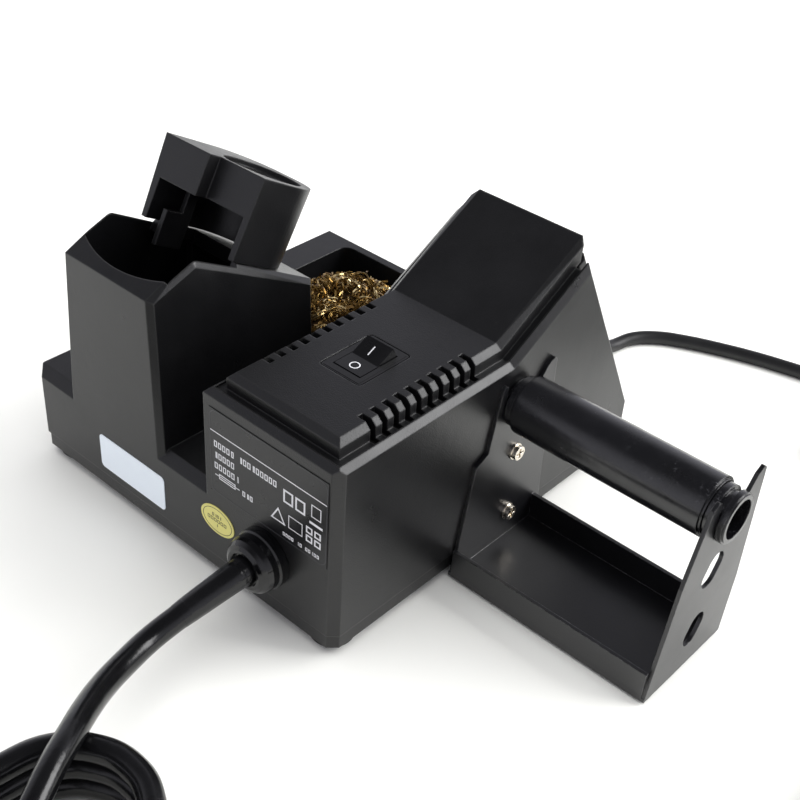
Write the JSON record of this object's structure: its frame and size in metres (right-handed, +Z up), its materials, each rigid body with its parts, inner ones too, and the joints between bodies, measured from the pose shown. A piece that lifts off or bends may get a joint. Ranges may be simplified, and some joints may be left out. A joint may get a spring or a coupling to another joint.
{
  "type": "soldering iron station",
  "caption": "Compact soldering station: sloping control unit, iron stand tower, brass wool well, solder reel bracket with roller, and an iron on its lead.",
  "frame": {"origin": "middle of the footprint of the station, its reel bracket and the iron lying beside it, at table level under the feet", "axes": "+X towards the stand tower (right, seen from the front), -Y towards the front with the display and keys, +Z up"},
  "size_m": [0.2716, 0.4595, 0.1079],
  "materials": {
    "housing_plastic": "fine-grained black moulding",
    "lid_plastic": "fine-grained black moulding, slightly sleeker",
    "holder_plastic": "smooth black moulding",
    "foot_rubber": "soft matt rubber",
    "nickel_screw": "nickel plate, lightly worn",
    "window": "smoked clear window",
    "switch_black": "satin black nylon",
    "switch_gloss": "glossy black rocker with white marks",
    "circuit_board": "green solder resist",
    "key_grey": "satin grey rubber",
    "coil_tape": "yellow winding tape over ferrite",
    "capacitor_sleeve": "shrunk sleeve",
    "bare_aluminium": "extruded, unpainted",
    "fuse_glass": "end caps and clips",
    "label_black": "printed film with plain lines",
    "label_white": "blank white film",
    "label_yellow": "yellow paper disc, plain",
    "liner_steel": "drawn tube",
    "brass_shavings": "curled bright shavings",
    "bracket_paint": "satin black powder coat",
    "roller_black": "glossy black with fine scuffs",
    "bush_gloss": "glossy black nylon",
    "cord_sheath": "glossy black cord sheath",
    "iron_cord_sheath": "soft black sheath",
    "plug_body": "moulded black plug",
    "plug_pin": "nickel plate",
    "handle_plastic": "satin black handle",
    "grip_rubber": "soft ribbed grip",
    "nickel_nut": "knurled nickel-plated nut",
    "barrel_steel": "stainless barrel",
    "tip_plate": "plated tip, slightly heat-tinted"
  },
  "bodies": {
    "station": {"casing": "housing_plastic", "base_plate": "housing_plastic", "lid": "lid_plastic", "front_panel": "lid_plastic", "feet": "foot_rubber", "base_screws": "nickel_screw", "display_window": "window", "display_module": "switch_black", "display_board": "circuit_board", "key_switches": "switch_black", "main_board": "circuit_board", "power_transformer": "coil_tape", "filter_capacitor": "capacitor_sleeve", "heat_sink": "bare_aluminium", "fuse_link": "fuse_glass", "switch_body": "switch_black", "rating_label": "label_black", "blank_sticker": "label_white", "round_sticker": "label_yellow", "reel_bracket": "bracket_paint", "bracket_screws": "nickel_screw", "mains_bush": "bush_gloss", "mains_bush_nut": "switch_black", "mains_relief": "cord_sheath", "mains_lead": "cord_sheath", "mains_hank": "cord_sheath", "mains_tail": "cord_sheath", "mains_plug": "plug_body", "plug_pins": "plug_pin", "iron_bush": "cord_sheath", "iron_lead": "iron_cord_sheath", "iron_coil": "iron_cord_sheath", "iron_lead_tail": "iron_cord_sheath", "iron_relief": "iron_cord_sheath", "iron_handle": "handle_plastic", "iron_grip": "grip_rubber", "iron_nut": "nickel_nut", "iron_barrel": "barrel_steel", "iron_tip": "tip_plate"},
    "rocker": {"rocker": "switch_gloss"},
    "key_up": {"key_up": "key_grey"},
    "key_down": {"key_down": "key_grey"},
    "key_set": {"key_set": "key_grey"},
    "iron_holder": {"iron_holder": "holder_plastic", "holder_liner": "liner_steel"},
    "brass_wool": {"brass_wool": "brass_shavings"},
    "reel_axle": {"reel_axle": "roller_black"},
    "reel_roller": {"reel_roller": "roller_black"}
  },
  "joints": [
    {"name": "rocker_tilt", "type": "hinge", "parent": "station", "child": "rocker", "pos_m": [0.0293, 0.02235, 0.071], "axis": [1, 0, 0], "range_deg": [0, 26]},
    {"name": "key_up_press", "type": "slide", "parent": "station", "child": "key_up", "axis": [0, 0.8746, -0.4848], "range_m": [0, 0.001], "stiffness_N_per_m": 250},
    {"name": "key_down_press", "type": "slide", "parent": "station", "child": "key_down", "axis": [0, 0.8746, -0.4848], "range_m": [0, 0.001], "stiffness_N_per_m": 250},
    {"name": "key_set_press", "type": "slide", "parent": "station", "child": "key_set", "axis": [0, 0.8746, -0.4848], "range_m": [0, 0.001], "stiffness_N_per_m": 250},
    {"name": "holder_lift", "type": "slide", "parent": "station", "child": "iron_holder", "axis": [0, -0.4848, 0.8746], "range_m": [0, 0.03]},
    {"name": "wool_lift", "type": "slide", "parent": "station", "child": "brass_wool", "axis": [0, 0, 1], "range_m": [0, 0.03]},
    {"name": "axle_lift", "type": "slide", "parent": "station", "child": "reel_axle", "axis": [0, 0, 1], "range_m": [0, 0.02]},
    {"name": "roller_spin", "type": "hinge", "parent": "reel_axle", "child": "reel_roller", "pos_m": [-0.0312, -0.01515, 0.054], "axis": [1, 0, 0], "continuous": true}
  ]
}
